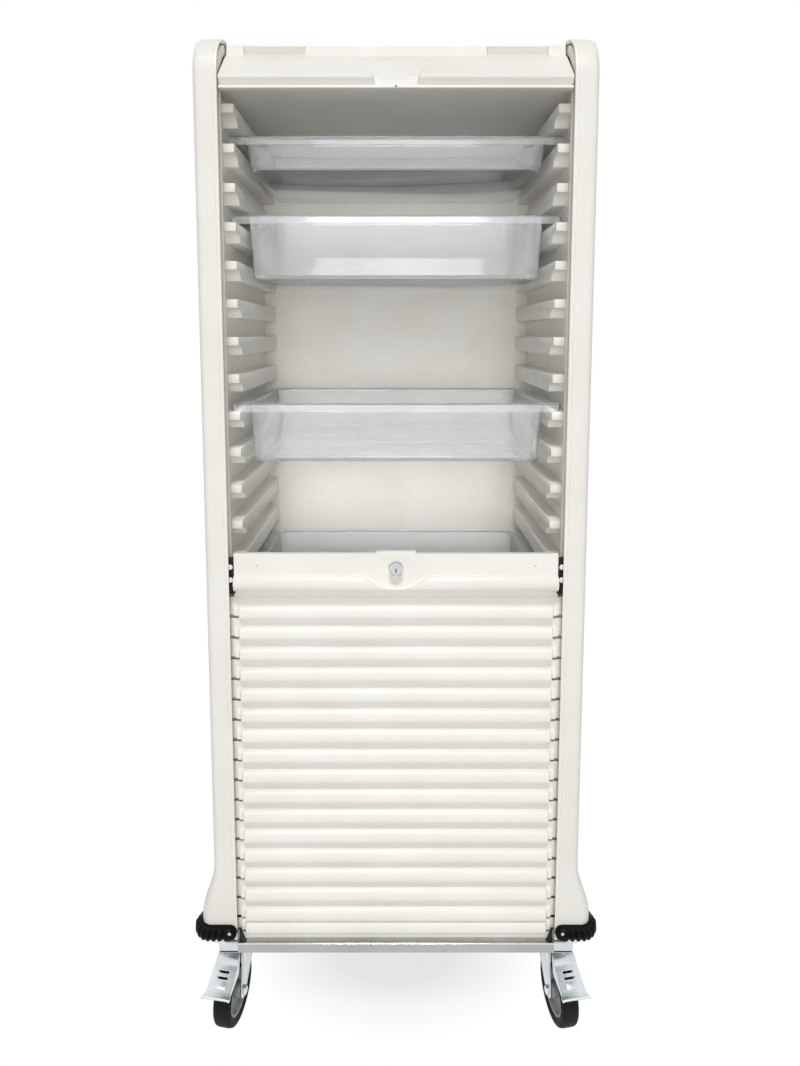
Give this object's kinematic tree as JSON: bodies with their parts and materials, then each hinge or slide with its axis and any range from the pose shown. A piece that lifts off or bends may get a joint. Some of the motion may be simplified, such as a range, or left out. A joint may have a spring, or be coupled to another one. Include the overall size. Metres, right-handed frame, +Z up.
{
  "type": "mobile tray cabinet",
  "caption": "Tall mobile cabinet with a bottom-stored roller shutter, clear slide-out trays on moulded side runners, corner bumpers and braked swivel castors.",
  "frame": {"origin": "On the floor, under the middle of the cabinet.", "axes": "+X to the right seen from the front, -Y out of the front, +Z up."},
  "size_m": [0.762, 0.55, 1.908],
  "materials": {
    "ivory_abs": "moulded ABS, satin gloss",
    "liner_abs": "vacuum-formed ABS, satin",
    "clear_pc": "injection-moulded clear polycarbonate",
    "stainless": "folded stainless sheet, brushed",
    "zinc_steel": "pressed steel, bright zinc plate",
    "chrome": "chrome-plated zinc casting",
    "black_rubber": "moulded rubber, matt",
    "black_nylon": "moulded nylon",
    "tyre_rubber": "moulded rubber tread",
    "rim_plastic": "moulded polyamide"
  },
  "bodies": {
    "cabinet": {"side_shell_right": "ivory_abs", "side_shell_left": "ivory_abs", "rear_cover": "ivory_abs", "roof": "ivory_abs", "front_header": "ivory_abs", "rear_header": "ivory_abs", "shutter_curtain": "ivory_abs", "shutter_stored": "ivory_abs", "liner_upper_right": "liner_abs", "liner_upper_left": "liner_abs", "liner_lower_right": "liner_abs", "liner_lower_left": "liner_abs", "inner_floor": "liner_abs", "inner_ceiling": "liner_abs", "back_wall": "liner_abs", "base_side_rail_right": "stainless", "base_side_rail_left": "stainless", "base_front_rail": "stainless", "base_rear_rail": "stainless", "bumper_front_right": "black_rubber", "bumper_front_left": "black_rubber", "bumper_rear_right": "black_rubber", "bumper_rear_left": "black_rubber", "castor_front_left_plate": "zinc_steel", "castor_front_right_plate": "zinc_steel", "castor_rear_left_plate": "zinc_steel", "castor_rear_right_plate": "zinc_steel"},
    "shutter": {"shutter_bar": "ivory_abs", "shutter_shoe_right": "black_nylon", "shutter_shoe_left": "black_nylon"},
    "lock": {"lock_cylinder": "chrome", "lock_cam": "zinc_steel"},
    "tray_1": {"tray_1": "clear_pc"},
    "tray_2": {"tray_2": "clear_pc"},
    "tray_3": {"tray_3": "clear_pc"},
    "tray_4": {"tray_4": "clear_pc"},
    "castor_front_left_swivel": {"castor_front_left_fork": "zinc_steel", "castor_front_left_axle": "zinc_steel"},
    "castor_front_left_wheel": {"castor_front_left_tyre": "tyre_rubber", "castor_front_left_rim": "rim_plastic"},
    "castor_front_left_pedal": {"castor_front_left_pedal": "zinc_steel"},
    "castor_front_right_swivel": {"castor_front_right_fork": "zinc_steel", "castor_front_right_axle": "zinc_steel"},
    "castor_front_right_wheel": {"castor_front_right_tyre": "tyre_rubber", "castor_front_right_rim": "rim_plastic"},
    "castor_front_right_pedal": {"castor_front_right_pedal": "zinc_steel"},
    "castor_rear_left_swivel": {"castor_rear_left_fork": "zinc_steel", "castor_rear_left_axle": "zinc_steel"},
    "castor_rear_left_wheel": {"castor_rear_left_tyre": "tyre_rubber", "castor_rear_left_rim": "rim_plastic"},
    "castor_rear_left_pedal": {"castor_rear_left_pedal": "zinc_steel"},
    "castor_rear_right_swivel": {"castor_rear_right_fork": "zinc_steel", "castor_rear_right_axle": "zinc_steel"},
    "castor_rear_right_wheel": {"castor_rear_right_tyre": "tyre_rubber", "castor_rear_right_rim": "rim_plastic"},
    "castor_rear_right_pedal": {"castor_rear_right_pedal": "zinc_steel"}
  },
  "joints": [
    {"name": "shutter_slide", "type": "slide", "parent": "cabinet", "child": "shutter", "axis": [0, 0, -1], "range_m": [-0.803, 0.655], "deforming": ["shutter_curtain", "shutter_stored"]},
    {"name": "lock_turn", "type": "hinge", "parent": "shutter", "child": "lock", "pos_m": [0, -0.25, 0.97], "axis": [0, -1, 0], "range_deg": [0, 90]},
    {"name": "tray_1_slide", "type": "slide", "parent": "cabinet", "child": "tray_1", "axis": [0, -1, 0], "range_m": [-0.012, 0.34]},
    {"name": "tray_2_slide", "type": "slide", "parent": "cabinet", "child": "tray_2", "axis": [0, -1, 0], "range_m": [-0.002, 0.34]},
    {"name": "tray_3_slide", "type": "slide", "parent": "cabinet", "child": "tray_3", "axis": [0, -1, 0], "range_m": [-0.028, 0.33]},
    {"name": "tray_4_slide", "type": "slide", "parent": "cabinet", "child": "tray_4", "axis": [0, -1, 0], "range_m": [-0.032, 0.006]},
    {"name": "castor_front_left_turn", "type": "hinge", "parent": "cabinet", "child": "castor_front_left_swivel", "pos_m": [-0.327, -0.141, 0.17], "axis": [0, 0, 1], "continuous": true},
    {"name": "castor_front_left_roll", "type": "hinge", "parent": "castor_front_left_swivel", "child": "castor_front_left_wheel", "pos_m": [-0.33343, -0.17744, 0.0625], "axis": [0.9848, -0.1736, 0], "continuous": true},
    {"name": "castor_front_left_brake", "type": "hinge", "parent": "castor_front_left_swivel", "child": "castor_front_left_pedal", "pos_m": [-0.33186, -0.16858, 0.15], "axis": [0.9848, -0.1736, 0], "range_deg": [0, 12]},
    {"name": "castor_front_right_turn", "type": "hinge", "parent": "cabinet", "child": "castor_front_right_swivel", "pos_m": [0.327, -0.141, 0.17], "axis": [0, 0, 1], "continuous": true},
    {"name": "castor_front_right_roll", "type": "hinge", "parent": "castor_front_right_swivel", "child": "castor_front_right_wheel", "pos_m": [0.33343, -0.17744, 0.0625], "axis": [0.9848, 0.1736, 0], "continuous": true},
    {"name": "castor_front_right_brake", "type": "hinge", "parent": "castor_front_right_swivel", "child": "castor_front_right_pedal", "pos_m": [0.33186, -0.16858, 0.15], "axis": [0.9848, 0.1736, 0], "range_deg": [0, 12]},
    {"name": "castor_rear_left_turn", "type": "hinge", "parent": "cabinet", "child": "castor_rear_left_swivel", "pos_m": [-0.327, 0.141, 0.17], "axis": [0, 0, 1], "continuous": true},
    {"name": "castor_rear_left_roll", "type": "hinge", "parent": "castor_rear_left_swivel", "child": "castor_rear_left_wheel", "pos_m": [-0.33343, 0.17744, 0.0625], "axis": [-0.9848, -0.1736, 0], "continuous": true},
    {"name": "castor_rear_left_brake", "type": "hinge", "parent": "castor_rear_left_swivel", "child": "castor_rear_left_pedal", "pos_m": [-0.33186, 0.16858, 0.15], "axis": [-0.9848, -0.1736, 0], "range_deg": [0, 12]},
    {"name": "castor_rear_right_turn", "type": "hinge", "parent": "cabinet", "child": "castor_rear_right_swivel", "pos_m": [0.327, 0.141, 0.17], "axis": [0, 0, 1], "continuous": true},
    {"name": "castor_rear_right_roll", "type": "hinge", "parent": "castor_rear_right_swivel", "child": "castor_rear_right_wheel", "pos_m": [0.33343, 0.17744, 0.0625], "axis": [-0.9848, 0.1736, 0], "continuous": true},
    {"name": "castor_rear_right_brake", "type": "hinge", "parent": "castor_rear_right_swivel", "child": "castor_rear_right_pedal", "pos_m": [0.33186, 0.16858, 0.15], "axis": [-0.9848, 0.1736, 0], "range_deg": [0, 12]}
  ]
}
